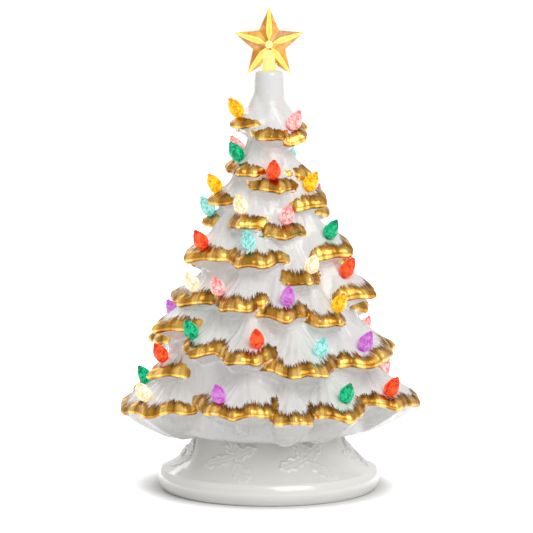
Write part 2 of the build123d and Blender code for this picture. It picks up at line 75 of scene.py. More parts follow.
soft_lamp("key_lamp", (0.85, -1.5, 1.6), (1.5, 1.5), 27.0)
soft_lamp("side_lamp", (-1.2, -0.4, 0.9), (0.4, 0.9), 0.6)
soft_lamp("back_lamp", (-0.7, 1.6, 1.4), (1.2, 1.2), 7.0)

world = bpy.data.worlds.new("pale_room")
bpy.context.scene.world = world
world.use_nodes = True
air = world.node_tree
paths = air.nodes.new("ShaderNodeLightPath")
seen = air.nodes.new("ShaderNodeMath")
seen.operation = "MAXIMUM"
air.links.new(paths.outputs["Is Camera Ray"], seen.inputs[0])
through = air.nodes.new("ShaderNodeMath")
through.operation = "MAXIMUM"
air.links.new(paths.outputs["Is Glossy Ray"], through.inputs[0])
air.links.new(paths.outputs["Is Transmission Ray"], through.inputs[1])
air.links.new(through.outputs[0], seen.inputs[1])
strength = air.nodes.new("ShaderNodeMapRange")
strength.inputs["To Min"].default_value = room_light
strength.inputs["To Max"].default_value = room_seen
air.links.new(seen.outputs[0], strength.inputs["Value"])
air.links.new(strength.outputs["Result"], air.nodes["Background"].inputs["Strength"])
air.nodes["Background"].inputs["Color"].default_value = (1.0, 1.0, 1.0, 1.0)


class Value:
    """A shader socket that Python arithmetic can be used on."""

    def __init__(self, finish, socket):
        self.finish, self.socket = finish, socket

    def joined(self, operation, first, second=0.0):
        return self.finish.node("ShaderNodeMath", {"operation": operation}, {0: first, 1: second})

    def __add__(self, other):
        return self.joined("ADD", self, other)

    def __sub__(self, other):
        return self.joined("SUBTRACT", self, other)

    def __rsub__(self, other):
        return self.joined("SUBTRACT", other, self)

    def __mul__(self, other):
        return self.joined("MULTIPLY", self, other)

    def most(self, other):
        return self.joined("MAXIMUM", self, other)

    def step(self, start, end):
        """Rises smoothly from 0 at start to 1 at end."""
        return self.finish.node("ShaderNodeMapRange", {"interpolation_type": "SMOOTHSTEP"},
                                {"Value": self, "From Min": start, "From Max": end})

    __radd__, __rmul__ = __add__, __mul__


class Finish:
    """A material in the making, with its Principled shader."""

    def __init__(self, name, constants):
        self.material = bpy.data.materials.new(name)
        self.material.use_nodes = True
        self.tree = self.material.node_tree
        self.shader = self.tree.nodes["Principled BSDF"]
        for socket, value in constants.items():
            self.shader.inputs[socket].default_value = value

    def node(self, kind, settings, values, out=0):
        """Any node: its settings first, then the values or links of its sockets."""
        node = self.tree.nodes.new(kind)
        for name, value in settings.items():
            setattr(node, name, value)
        for name, value in values.items():
            self.feed(node.inputs[name], value)
        return Value(self, node.outputs[out])

    def feed(self, socket, value):
        if isinstance(value, Value):
            self.tree.links.new(value.socket, socket)
        else:
            socket.default_value = value

    def mixed(self, share, first, second):
        """Two colours mixed: the node's colour sockets are 6 and 7, and its colour output is 2."""
        return self.node("ShaderNodeMix", {"data_type": "RGBA"}, {0: share, 6: first, 7: second}, 2)

    def place(self, stretch=(1.0, 1.0, 1.0)):
        """Object coordinates, stretched along the axes."""
        coordinates = self.node("ShaderNodeTexCoord", {}, {}, "Object")
        return self.node("ShaderNodeMapping", {}, {"Vector": coordinates, "Scale": stretch})

    def noise(self, place, scale, detail=2.0, roughness=0.5):
        return self.node("ShaderNodeTexNoise", {},
                         {"Vector": place, "Scale": scale, "Detail": detail, "Roughness": roughness}, "Fac")

    def attribute(self, name):
        return self.node("ShaderNodeAttribute", {"attribute_name": name}, {}, "Fac")

    def bump(self, height, distance, strength=1.0):
        normal = self.node("ShaderNodeBump", {}, {"Height": height, "Distance": distance,
                                                  "Strength": strength})
        self.set("Normal", normal)

    def set(self, socket, value):
        self.feed(self.shader.inputs[socket], value)

    def seen_directly(self):
        """1 for what the camera sees straight, mirrored or through glass, else 0."""
        kinds = [self.node("ShaderNodeLightPath", {}, {}, "Is %s Ray" % kind)
                 for kind in ("Camera", "Glossy", "Transmission")]
        return kinds[0].most(kinds[1]).most(kinds[2])


# Seen by the camera, the sheet is painted a little darker than plain close round the foot, a painted shade
# over the real shade under the rim, and painted brighter further out up to pure white, which paints out the
# tree's cast shadow.
table_half = 4.0
painted_shade_ring, painted_light_ring = (0.084, 0.118), (0.10, 0.30)
floor_mesh = bpy.data.meshes.new("table_top")
sheet = bmesh.new()
bmesh.ops.create_grid(sheet, x_segments=1, y_segments=1, size=table_half)
sheet.to_mesh(floor_mesh)
sheet.free()
table_top = bpy.data.objects.new("table_top", floor_mesh)
bpy.context.collection.objects.link(table_top)
paper = Finish("white_paper", {"Roughness": 0.9, "Specular IOR Level": 0.1})
grain = paper.noise(paper.place(), 900.0, 3.0)
plain = paper.mixed(grain, (0.82, 0.82, 0.82, 1.0), (0.84, 0.84, 0.84, 1.0))
reach = paper.node("ShaderNodeVectorMath", {"operation": "LENGTH"}, {0: paper.place()}, "Value")
# Painted shade close round the foot and painted light further out, in the colour the camera sees.
painted_light_share = reach.step(*painted_shade_ring) * 0.5 + reach.step(*painted_light_ring) * 0.5
seen_with_painted_shade_and_light = paper.mixed(painted_light_share, (0.75, 0.75, 0.75, 1.0), (3.0, 3.0, 3.0, 1.0))
paper.set("Base Color", paper.mixed(paper.seen_directly(), plain, seen_with_painted_shade_and_light))
floor_mesh.materials.append(paper.material)


# Tree. One slip-cast, hollow, glazed piece: drooping boughs in eight tiers with needle furrows in the
# clay, dipped in white glaze, and gold lustre brushed over each lip in feathered strokes.
skirt_radius = 0.122
seat_height = 0.048
shell_rise = 0.283
# One row a bough: azimuth, height, tip radius, reach, half width, roll and lobes, in degrees and shares.
bough_shares = [
    (-70, 0.842, 0.262, 0.22, 0.168, 0, 3), (2, 0.812, 0.275, 0.22, 0.140, 0, 3),
    (58, 0.806, 0.275, 0.22, 0.151, 20, 3), (124, 0.830, 0.265, 0.22, 0.190, 0, 3),
    (-152, 0.820, 0.265, 0.22, 0.200, 0, 3),
    (-38, 0.712, 0.310, 0.25, 0.151, 0, 3), (10, 0.672, 0.325, 0.26, 0.185, 0, 4),
    (68, 0.702, 0.295, 0.25, 0.168, 0, 3), (124, 0.690, 0.315, 0.25, 0.190, 0, 3),
    (-178, 0.700, 0.320, 0.26, 0.202, 0, 3), (-112, 0.716, 0.295, 0.25, 0.213, 0, 3),
    (-78, 0.628, 0.400, 0.30, 0.185, 0, 3), (-28, 0.572, 0.412, 0.30, 0.168, 0, 3),
    (14, 0.548, 0.425, 0.30, 0.196, 0, 4), (60, 0.630, 0.412, 0.31, 0.207, 16, 4),
    (112, 0.590, 0.420, 0.31, 0.235, 0, 3), (166, 0.610, 0.425, 0.31, 0.240, 0, 3),
    (-140, 0.580, 0.425, 0.31, 0.235, 0, 3), (-98, 0.562, 0.435, 0.33, 0.146, 0, 3),
    (-64, 0.480, 0.590, 0.40, 0.263, 0, 4), (-13, 0.474, 0.548, 0.38, 0.241, 0, 5),
    (26, 0.424, 0.590, 0.40, 0.179, 0, 3), (65, 0.496, 0.582, 0.40, 0.235, 14, 4),
    (112, 0.450, 0.585, 0.40, 0.280, 0, 3), (160, 0.475, 0.590, 0.40, 0.290, 0, 3),
    (-152, 0.445, 0.585, 0.40, 0.270, 0, 3), (-108, 0.450, 0.550, 0.38, 0.235, 0, 3),
    (-62, 0.360, 0.640, 0.40, 0.230, 0, 4), (-20, 0.360, 0.675, 0.41, 0.241, 0, 5),
    (9, 0.337, 0.705, 0.43, 0.207, 0, 4), (38, 0.314, 0.735, 0.43, 0.185, 0, 3),
    (72, 0.380, 0.715, 0.43, 0.218, 12, 4), (112, 0.318, 0.705, 0.43, 0.270, 0, 3),
    (158, 0.345, 0.715, 0.43, 0.290, 0, 3), (-156, 0.325, 0.710, 0.43, 0.280, 0, 3),
    (-110, 0.345, 0.685, 0.42, 0.270, 0, 3),
    (-70, 0.286, 0.780, 0.43, 0.241, 0, 4), (-38, 0.238, 0.803, 0.43, 0.241, 0, 4),
    (-12, 0.227, 0.852, 0.45, 0.241, 0, 5), (17, 0.194, 0.885, 0.47, 0.308, 0, 5),
    (60, 0.212, 0.870, 0.47, 0.336, 12, 5), (108, 0.205, 0.865, 0.45, 0.330, 0, 4),
    (154, 0.235, 0.860, 0.45, 0.330, 0, 4), (-160, 0.202, 0.870, 0.45, 0.330, 0, 4),
    (-112, 0.225, 0.845, 0.45, 0.320, 0, 4),
    (-66, 0.162, 0.838, 0.43, 0.213, 0, 4), (-124, 0.130, 0.860, 0.43, 0.269, 0, 3),
    (122, 0.130, 0.860, 0.43, 0.269, 0, 3),
    (-72, 0.062, 1.005, 0.53, 0.480, 0, 6), (-14, 0.088, 0.965, 0.50, 0.347, 0, 6),
    (10, 0.070, 1.000, 0.50, 0.196, 0, 3), (32, 0.075, 0.995, 0.50, 0.263, 0, 4),
    (76, 0.078, 1.010, 0.53, 0.430, 0, 6), (118, 0.075, 0.990, 0.53, 0.380, 0, 4),
    (166, 0.062, 1.000, 0.53, 0.400, 0, 4), (-122, 0.075, 0.990, 0.53, 0.450, 0, 5),
]
lip_half_angle = radians(108.0)
back_angle = 2.3
bough_tilt = radians(9.0)
squareness = 2.25
top_steepness, skirt_steepness = 1.50, 0.86
root_level = -0.62
bell_levels = (0.03, 0.115, 0.325, 0.76)
bell_sizes = (0.0, 1.0, 0.955, 0.5, 0.0)
bay_depth, lobe_drop = 0.05, 0.045
skin_depth = 0.0035
trunk_lip_distance, trunk_edge_height = 0.06, 0.02
voxel = 0.00125
smoothings = 18
most_triangles = 196000.0
lip_margin = 0.004
facing_out = -0.004
slant = 0.25
lobe_pitches, lobe_height, lobe_reach = (0.021, 0.0125), 0.0021, 0.010
fold_pitches, fold_height, trunk_fold_height = (0.0125, 0.0083), 0.0014, 0.0011
fold_wanders, fold_mean = (0.0071, 0.009), 0.62
needle_pitch, needle_height = 0.0040, 0.0004
needle_wanders, needle_mean = (0.0031, 0.006), 0.6
edge_overrun = 0.002
bough_folds_end, bough_folds_fade = 0.305, 0.02
white_start_run, white_end, white_end_run = 0.008, 0.045, 0.015
trunk_folds_start, trunk_folds_end, trunk_folds_fade = 0.06, 0.285, 0.03
point_reach, point_angle, point_depth = 0.0032, 0.30, 0.009
neck_start, neck_kept = 0.294, 0.3
neck_radii = [(0.294, 0.0300), (0.298, 0.0200), (0.302, 0.0162), (0.3077, 0.0140), (0.3155, 0.0122),
              (0.323, 0.0114), (0.331, 0.0112)]
underside_start, underside_width, underside_drop = 0.0575, 0.0575, 0.005
underside_line, underside_skin = ((0.0535, 0.117), (0.048, 0.066)), 0.0045
underside_slope, underside_slope_run = -0.05, 0.3
mouth_height, mouth_radius = 0.075, 0.058
ray_lift, ray_falls, ray_turns = 0.0005, (0.0, -0.8), (0.0, 0.6, -0.6)
gold_reach = 0.018
gold_strokes, gold_tufts, gold_start, gold_taper = 22.0, 8.0, -2.3, 3.0


def dressed_copy(node_name, name):
    """A copy of a CAD node's mesh, merged, as a new object."""
    draft = bmesh.new()
    draft.from_mesh(nodes[node_name].data)
    bmesh.ops.remove_doubles(draft, verts=draft.verts, dist=1e-6)
    mesh = bpy.data.meshes.new(name)
    draft.to_mesh(mesh)
    draft.free()
    mesh.materials.clear()
    piece = bpy.data.objects.new(name, mesh)
    bpy.context.collection.objects.link(piece)
    return piece


def with_modifiers_applied(piece):
    """Bakes a piece's modifiers into its mesh."""
    graph = bpy.context.evaluated_depsgraph_get()
    mesh = bpy.data.meshes.new_from_object(piece.evaluated_get(graph))
    piece.modifiers.clear()
    piece.data = mesh


def smooth_skin(piece):
    piece.data.polygons.foreach_set("use_smooth", np.ones(len(piece.data.polygons), bool))


def vertex_places(mesh):
    places = np.empty(len(mesh.vertices) * 3)
    mesh.vertices.foreach_get("co", places)
    return places.reshape(-1, 3)


def vertex_normals(mesh):
    normals = np.empty(len(mesh.vertices) * 3)
    mesh.vertex_normals.foreach_get("vector", normals)
    return normals.reshape(-1, 3)


def bough_coordinates(places, owners=None):
    """For each point: the bough whose skin it lies on, the distance to that bough's lip, the height over
    the lip's lower edge, and the angle round the bough. A point on the bare trunk belongs to bough -1."""
    count = len(places)
    nearest = np.full(count, 2.0 * skin_depth)
    owner = np.full(count, -1)
    to_lip = np.full(count, trunk_lip_distance)
    over_edge = np.full(count, trunk_edge_height)
    turn = np.zeros(count)
    for number, (azimuth, height, radius, reach, width, roll, lobes) in enumerate(bough_shares):
        reach_out, half_width = reach * skirt_radius, width * skirt_radius
        steepness = top_steepness + radius * (skirt_steepness - top_steepness)
        angle = radians(azimuth)
        outward = Vector((sin(angle), -cos(angle), 0.0))
        across = Vector((0.0, 0.0, 1.0)).cross(outward)
        outward = Matrix.Rotation(bough_tilt, 3, across) @ outward
        across = Matrix.Rotation(radians(-roll if azimuth < 0 else roll), 3, outward) @ across
        up = outward.cross(across)
        tip = Vector((radius * skirt_radius * sin(angle), -radius * skirt_radius * cos(angle),
                      seat_height + height * shell_rise))
        local = (places - np.array(tip - outward * reach_out)) @ np.array([outward, across, up]).T
        # Only points in a box a little larger than the bough are worked out.
        near = (np.abs(local[:, 0]) < reach_out * 1.1) & (np.abs(local[:, 1]) < half_width * 1.15)
        near &= (local[:, 2] > -0.7 * reach_out) & (local[:, 2] < 0.9 * steepness * reach_out)
        picked = np.nonzero(near if owners is None else owners == number)[0]
        x, y, z = local[picked].T
        power = squareness / 2.0
        along = np.sign(x) * np.abs(x / reach_out) ** power
        aside = np.sign(y) * np.abs(y / half_width) ** power
        size = (along ** 2 + aside ** 2) ** (1.0 / squareness)
        spot = np.arctan2(aside, along)
        level = z / (steepness * reach_out)
        bay = 0.5 - 0.5 * np.cos(pi * (spot / lip_half_angle + 1.0) * lobes)
        bay = np.where(np.abs(spot) < lip_half_angle, bay, 0.0)
        lip = 1.0 - bay_depth * bay
        level = level + lobe_drop * (1.0 - bay) * size / steepness
        profile = np.interp(level, (root_level / steepness,) + bell_levels, bell_sizes)
        off = np.abs(size - profile * lip) * min(reach_out, half_width)
        off = np.where((np.abs(spot) <= back_angle) & (off < skin_depth) & (size > 0.2), off, 1.0)
        better = off < nearest[picked] if owners is None else np.full(len(picked), True)
        chosen = picked[better]
        nearest[chosen] = off[better]
        owner[chosen] = number
        spread = reach_out * np.cos(spot) ** 2 + half_width * np.sin(spot) ** 2
        to_lip[chosen] = ((lip - size) * spread)[better]
        over_edge[chosen] = ((level - bell_levels[0]) * steepness * reach_out)[better]
        turn[chosen] = spot[better]
    return owner, to_lip, over_edge, turn


def settled(mesh, places):
    """The bough coordinates of a mesh, after neighbours have agreed on the bough that they belong to."""
    owner = bough_coordinates(places)[0]
    ends = np.empty(len(mesh.edges) * 2, dtype=np.int64)
    mesh.edges.foreach_get("vertices", ends)
    one, other = ends.reshape(-1, 2).T
    for _ in range(4):
        votes = np.zeros((len(places), len(bough_shares) + 1), dtype=np.int16)
        np.add.at(votes, (one, owner[other]), 2)
        np.add.at(votes, (other, owner[one]), 2)
        votes[np.arange(len(places)), owner] += 3
        owner = votes.argmax(axis=1)
        owner[owner == len(bough_shares)] = -1
    return (owner,) + bough_coordinates(places, owner)[1:]


def in_the_open(piece, places, normals, wanted):
    """1 for the wanted points that a level or falling line leads out from, and 0 for those inside."""
    skin = BVHTree.FromObject(piece, bpy.context.evaluated_depsgraph_get())
    azimuth = np.arctan2(places[:, 0], -places[:, 1])
    starts = places + normals * ray_lift
    past_mouth = (places[:, 2] > mouth_height) | (np.hypot(places[:, 0], places[:, 1]) > mouth_radius)
    free = np.zeros(len(places))
    for number in np.nonzero(wanted & past_mouth)[0]:
        ways = [(azimuth[number] + turn, fall) for fall in ray_falls for turn in ray_turns]
        free[number] = any(skin.ray_cast(starts[number], (sin(way), -cos(way), fall))[0] is None
                           for way, fall in ways)
    return free


tree = dressed_copy("tree_shell", "glazed_tree")
remesh = tree.modifiers.new("clay", "REMESH")
remesh.mode = "VOXEL"
remesh.voxel_size = voxel
remesh.use_smooth_shade = True
soften = tree.modifiers.new("slip", "SMOOTH")
soften.factor = 0.5
soften.iterations = smoothings
with_modifiers_applied(tree)

places = vertex_places(tree.data)
normals = vertex_normals(tree.data)
owner, to_lip, over_edge, turn = settled(tree.data, places)
widths = np.array([row[4] for row in bough_shares] + [0.3]) * skirt_radius
tip_radii = np.array([row[2] for row in bough_shares] + [1.0]) * skirt_radius
tip_turns = np.radians(np.array([row[0] for row in bough_shares] + [0.0]))
round_lip = turn * (widths[owner] + lip_margin)
outside = np.einsum("ij,ij->i", places[:, :2], normals[:, :2]) > facing_out


def furrow(across, down, number, pitches):
    """Rounded crests with narrow valleys between, wandering a little, each bough in its own way."""
    wander = 0.55 * np.sin(across / fold_wanders[0] + 2.3 * number)
    wander = wander + 0.45 * np.sin(down / fold_wanders[1] + 1.9 * number)
    broad, slim = (np.abs(np.sin(pi * across / pitch + wander * gain + 1.7 * number)) ** 0.75
                   for pitch, gain in zip(pitches, (1.0, -1.4)))
    return 0.62 * broad + 0.38 * slim


def needle(across, down, number):
    """Fine crests between the folds."""
    wander = 0.5 * np.sin(across / needle_wanders[0] + 1.3 * number)
    wander = wander + 0.6 * np.sin(down / needle_wanders[1] + 2.9 * number)
    return np.abs(np.sin(pi * across / needle_pitch + wander + 2.7 * number)) ** 0.8


on_bough = (owner >= 0) & (over_edge > -edge_overrun)
on_bough = on_bough * np.clip((bough_folds_end - places[:, 2]) / bough_folds_fade, 0.0, 1.0)
drawn_out = on_bough * (tip_radii[owner] < 0.9 * skirt_radius) * point_reach
drawn_out = drawn_out * np.exp(-(turn / point_angle) ** 2 - (np.maximum(to_lip, 0.0) / point_depth) ** 2)
places[:, 0] += drawn_out * np.sin(tip_turns[owner])
places[:, 1] -= drawn_out * np.cos(tip_turns[owner])
slanted = round_lip + slant * to_lip * np.sign(turn)
near_lip = np.exp(-(np.maximum(to_lip, 0.0) / lobe_reach) ** 2) * on_bough
white_part = np.clip(to_lip / white_start_run, 0.0, 1.0)
white_part = white_part * np.clip((white_end - to_lip) / white_end_run, 0.0, 1.0) * on_bough
relief = near_lip * lobe_height * (furrow(slanted, to_lip, owner, lobe_pitches) - fold_mean)
relief += white_part * fold_height * (furrow(slanted, to_lip, owner, fold_pitches) - fold_mean)
relief += white_part * needle_height * (needle(slanted, to_lip, owner) - needle_mean)
azimuth = np.arctan2(places[:, 0], -places[:, 1])
round_trunk = azimuth * np.hypot(places[:, 0], places[:, 1])
trunk_part = (owner < 0) & outside & (places[:, 2] > trunk_folds_start)
trunk_part = trunk_part * np.clip((trunk_folds_end - places[:, 2]) / trunk_folds_fade, 0.0, 1.0)
trunk_folds = furrow(round_trunk, places[:, 2], 3.0, fold_pitches) - fold_mean
relief += trunk_part * trunk_fold_height * trunk_folds
places += normals * relief[:, None]

# The shoulders run smoothly into the neck, and the underside of the skirt swells downwards.
radii = np.hypot(places[:, 0], places[:, 1])
limit = np.interp(places[:, 2], *zip(*neck_radii))
taken_in = (limit + (radii - limit) * neck_kept) / np.maximum(radii, 1e-6)
taken_in = np.where((places[:, 2] > neck_start) & (radii > limit), taken_in, 1.0)
places[:, :2] *= taken_in[:, None]
underside = np.interp(radii, *underside_line)
below = np.clip((underside_slope - normals[:, 2]) / underside_slope_run, 0.0, 1.0)
below = below * (places[:, 2] < underside + underside_skin) * (radii > underside_start)
swell = np.clip((radii - underside_start) / underside_width, 0.0, 1.0)
places[:, 2] -= below * underside_drop * np.sin(pi * swell) ** 0.7
tree.data.vertices.foreach_set("co", places.ravel())
tree.data.update()

thin = tree.modifiers.new("thin", "DECIMATE")
thin.ratio = min(1.0, most_triangles / (2.0 * len(tree.data.polygons)))
with_modifiers_applied(tree)
smooth_skin(tree)

places = vertex_places(tree.data)
normals = vertex_normals(tree.data)
owner, to_lip, over_edge, turn = settled(tree.data, places)
outer_skin = in_the_open(tree, places, normals, (owner >= 0) & (to_lip < gold_reach))
round_lip = turn * (widths[owner] + lip_margin)
# The crest height is kept for the gold's colour: painted highlights on the crests and painted shade in the
# valleys.
crest = furrow(round_lip + slant * to_lip * np.sign(turn), to_lip, owner, lobe_pitches)
proud = np.hypot(places[:, 0], places[:, 1]) / tip_radii[owner]


def keep_attributes(mesh, **attributes):
    """Writes one number a vertex under each name, for the material to read."""
    for name, values in attributes.items():
        layer = mesh.attributes.new(name, "FLOAT", "POINT")
        layer.data.foreach_set("value", values.astype(np.float32))


keep_attributes(tree.data, lip_distance=to_lip * 1000.0, edge_height=over_edge * 1000.0,
                round_lip=round_lip * 1000.0, turn=turn, crest=crest, proud=proud, outer_skin=outer_skin)

glaze = Finish("white_glaze_and_gold", {"IOR": 1.5, "Coat Roughness": 0.06, "Specular IOR Level": 0.5})
lip = glaze.attribute("lip_distance")
edge = glaze.attribute("edge_height")
along_lip = glaze.attribute("round_lip")
higher = glaze.node("ShaderNodeSeparateXYZ", {}, {"Vector": glaze.place((20.0, 20.0, 60.0))}, "Z")
side = glaze.attribute("turn")
stroke_place = glaze.node("ShaderNodeCombineXYZ", {}, {"X": along_lip, "Y": lip * 0.07, "Z": higher})
strokes = glaze.noise(stroke_place, 1.7, 3.5, 0.7)
tufts = glaze.noise(stroke_place, 0.22, 1.0)
sides = glaze.node("ShaderNodeMath", {"operation": "ABSOLUTE"}, {0: side}).step(1.60, 1.10)
sides = sides * glaze.attribute("proud").step(0.66, 0.80)
band = (strokes * gold_strokes + tufts * gold_tufts + gold_start) * sides - gold_taper
gold = (band - lip).step(-0.5, 0.5) * edge.step(-1.6, -0.6)
gold = gold * glaze.attribute("outer_skin").step(0.3, 0.7)
cloud = glaze.noise(glaze.place(), 30.0, 3.0)
white = glaze.mixed(cloud, (0.73, 0.725, 0.71, 1.0), (0.79, 0.785, 0.77, 1.0))
streak = glaze.noise(stroke_place, 0.45, 2.5, 0.6)
# Painted light on the gold: crests painted bright as highlights and reflections, valleys and the upper band
# painted dark as shade, mixed with random streaks of tone and fine strokes.
upper = (lip - band * 0.35).step(0.0, 5.0)
gold_tone_and_painted_light = glaze.attribute("crest") * 0.8 + streak * 0.65 - upper * 0.45 - upper * (strokes - 0.5) * 1.6
painted_shade_gold = glaze.mixed(gold_tone_and_painted_light.step(0.2, 0.8), (0.12, 0.050, 0.007, 1.0), (0.34, 0.16, 0.022, 1.0))
gold_with_painted_light = glaze.mixed(gold_tone_and_painted_light.step(0.75, 1.25), painted_shade_gold, (0.80, 0.51, 0.14, 1.0))
glaze.set("Base Color", glaze.mixed(gold, white, gold_with_painted_light))
glaze.set("Metallic", gold)
glaze.set("Roughness", glaze.noise(glaze.place(), 60.0) * 0.10 + 0.22)
glaze.set("Coat Weight", (1.0 - gold) * 0.35)
glaze.bump(strokes * 0.3 + glaze.noise(glaze.place(), 160.0, 3.0) * 0.5, 0.0005, 0.4)
tree.data.materials.append(glaze.material)
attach(tree, "tree")
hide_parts("tree_shell")


# Twist bulbs. Small moulded clear-plastic bulbs in seven colours, each with six flutes that wind up to
# a nub, cemented by a peg in its hole. The glow that the lamps inside the tree give them is painted, as
# emission.
bulb_height = 0.0162
bulb_belly = 0.0056
peg_length = 0.007
bulb_lean = radians(32.0)
bulb_profile = [(-0.06, 0.42), (0.0, 0.52), (0.06, 0.70), (0.15, 0.90), (0.27, 1.0), (0.40, 0.99),
                (0.52, 0.92), (0.64, 0.80), (0.75, 0.64), (0.84, 0.47), (0.90, 0.33), (0.925, 0.24),
                (0.945, 0.27), (0.975, 0.25), (0.995, 0.14)]
bulb_corners = 24
bulb_flutes, flute_depth = 6, 0.055
bulb_winding = radians(75.0)
bulb_colours = {
    "yellow": ((0.80, 0.20, 0.0, 1.0), (1.0, 0.70, 0.01, 1.0)),
    "red": ((0.66, 0.012, 0.006, 1.0), (1.0, 0.13, 0.02, 1.0)),
    "green": ((0.0, 0.13, 0.045, 1.0), (0.0, 0.60, 0.26, 1.0)),
    "aqua": ((0.12, 0.50, 0.46, 1.0), (0.45, 0.86, 0.80, 1.0)),
    "pink": ((0.85, 0.15, 0.16, 1.0), (1.0, 0.66, 0.62, 1.0)),
    "purple": ((0.48, 0.05, 0.46, 1.0), (0.60, 0.25, 0.66, 1.0)),
    "clear": ((0.90, 0.60, 0.22, 1.0), (1.0, 0.96, 0.82, 1.0)),
}


def bulb_pattern():
    """One bulb standing at the origin; the height along it is kept as a vertex layer where the bulbs are
    placed.
    """
    draft = bmesh.new()
    share, size = bulb_profile[0]
    ring = bmesh.ops.create_circle(draft, cap_ends=True, segments=bulb_corners,
                                   radius=bulb_belly * size)["verts"]
    for number, vertex in enumerate(ring):
        vertex.co *= 1.0 + flute_depth * cos(2.0 * pi * number / bulb_corners * bulb_flutes)
    bmesh.ops.translate(draft, verts=ring, vec=(0.0, 0.0, share * bulb_height))
    edges = list(draft.edges)
    for (low, near), (high, far) in zip(bulb_profile, bulb_profile[1:]):
        grown = bmesh.ops.extrude_edge_only(draft, edges=edges)["geom"]
        ring = [part for part in grown if isinstance(part, bmesh.types.BMVert)]
        edges = [part for part in grown if isinstance(part, bmesh.types.BMEdge)]
        centre = Vector((0.0, 0.0, low * bulb_height))
        bmesh.ops.rotate(draft, verts=ring, cent=centre,
                         matrix=Matrix.Rotation(bulb_winding * (high - low), 3, "Z"))
        bmesh.ops.scale(draft, verts=ring, space=Matrix.Translation(-centre),
                        vec=(far / near, far / near, 1.0))
        bmesh.ops.translate(draft, verts=ring, vec=(0.0, 0.0, (high - low) * bulb_height))
    bmesh.ops.edgeloop_fill(draft, edges=edges)
    bmesh.ops.recalc_face_normals(draft, faces=draft.faces)
    pattern = bpy.data.meshes.new("bulb_pattern")
    draft.to_mesh(pattern)
    draft.free()
    return pattern


def bulb_seats(node):
    """Where each bulb of a node stands: a matrix whose Z axis is the bulb's own axis."""
    draft = bmesh.new()
    draft.from_mesh(node.data)
    bmesh.ops.remove_doubles(draft, verts=draft.verts, dist=1e-6)
    waiting = set(draft.verts)
    seats = []
    while waiting:
        island, edge_of_it = set(), [waiting.pop()]
        while edge_of_it:
            vertex = edge_of_it.pop()
            island.add(vertex)
            near = {edge.other_vert(vertex) for edge in vertex.link_edges} - island
            edge_of_it += list(near & waiting)
            waiting -= near
        middle = sum((vertex.co for vertex in island), Vector()) / len(island)
        outward = Vector((middle.x, middle.y, 0.0)).normalized()
        axis = outward * sin(bulb_lean) + Vector((0.0, 0.0, 1.0)) * cos(bulb_lean)
        lowest = min((vertex.co - middle).dot(axis) for vertex in island)
        side = Vector((0.0, 0.0, 1.0)).cross(outward)
        frame_of_it = Matrix((side, axis.cross(side), axis)).transposed().to_4x4()
        frame_of_it.translation = middle + axis * (lowest + peg_length)
        seats.append(frame_of_it)
    draft.free()
    return seats


def bulb_plastic(colour):
    """Clear plastic with flecks that paint facet glints, and a painted glow, palest near the belly."""
    deep, light = bulb_colours[colour]
    plastic = Finish("bulb_" + colour, {"Roughness": 0.12, "IOR": 1.45, "Specular IOR Level": 0.2,
                                        "Emission Strength": 0.9})
    flecks = plastic.node("ShaderNodeTexVoronoi", {"feature": "F1"},
                          {"Vector": plastic.place((1.0, 1.0, 0.6)), "Scale": 1050.0}, "Color")
    fleck = plastic.node("ShaderNodeSeparateColor", {}, {"Color": flecks}, 0)
    rise = plastic.attribute("rise")
    from_belly = rise - 0.45
    cloud = plastic.noise(plastic.place(), 260.0, 2.0)
    painted_glow_and_flecks = fleck * 0.55 + cloud * 0.9 - from_belly * from_belly * 0.9
    tint = plastic.mixed(painted_glow_and_flecks.step(0.35, 0.95), deep, light)
    plastic.set("Base Color", plastic.mixed(0.7, tint, (0.0, 0.0, 0.0, 1.0)))
    # The emission is painted glow, standing in for the light of the lamps inside the tree.
    plastic.set("Emission Color", tint)
    plastic.bump(fleck + plastic.noise(plastic.place(), 700.0, 1.0), 0.0005, 0.35)
    return plastic.material


one_bulb = bulb_pattern()
plastics = {colour: bulb_plastic(colour) for colour in bulb_colours}
for name in sorted(nodes):
    if not name.startswith("bulbs_"):
        continue
    draft = bmesh.new()
    for seat in bulb_seats(nodes[name]):
        start = len(draft.verts)
        draft.from_mesh(one_bulb)
        draft.verts.ensure_lookup_table()
        bmesh.ops.transform(draft, matrix=seat, verts=draft.verts[start:])
    mesh = bpy.data.meshes.new("twist_" + name)
    draft.to_mesh(mesh)
    draft.free()
    bulbs = bpy.data.objects.new("twist_" + name, mesh)
    bpy.context.collection.objects.link(bulbs)
    heights = vertex_places(one_bulb)[:, 2] / bulb_height
    keep_attributes(mesh, rise=np.tile(heights, len(mesh.vertices) // len(heights)))
    colour = name.rsplit("_", 1)[1]
    mesh.materials.append(plastics[colour])
    smooth_skin(bulbs)
    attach(bulbs, "tree")
    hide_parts(name)
    "bulb_" + colour


# Star. Moulded in translucent amber plastic with a raised round crest down each arm, a knob in the middle
# and a stem that drops into the neck of the tree. The crests, knob and stem are painted glowing, by
# emission, standing in for light from inside, and one flank of each arm is painted lighter as the lit side.
star_radius = 0.0287
star_centre = Vector((0.0, 0.0, 0.3513))
star_knob = 0.0034
star_points = 5
star_voxel = 0.00042
rim_half = 0.0013
crest_start, crest_rise, knob_sink = 0.0028, 0.0009, 0.0009
crest_halves = ([0.0025, 0.0045, 0.0090, 0.0180, 0.0260, 0.0287],
                [0.0002, 0.0010, 0.0026, 0.0021, 0.0011, 0.0004])
stem_half, stem_top = 0.0065, 0.3365
collar_half, collar_top = 0.0068, 0.3345
throat_half, throat_top = 0.0046, 0.347
star = dressed_copy("star_topper", "amber_star")
remesh = star.modifiers.new("moulding", "REMESH")
remesh.mode = "VOXEL"
remesh.voxel_size = star_voxel
remesh.use_smooth_shade = True
soften = star.modifiers.new("polish", "SMOOTH")
soften.factor = 0.5
soften.iterations = 3
with_modifiers_applied(star)

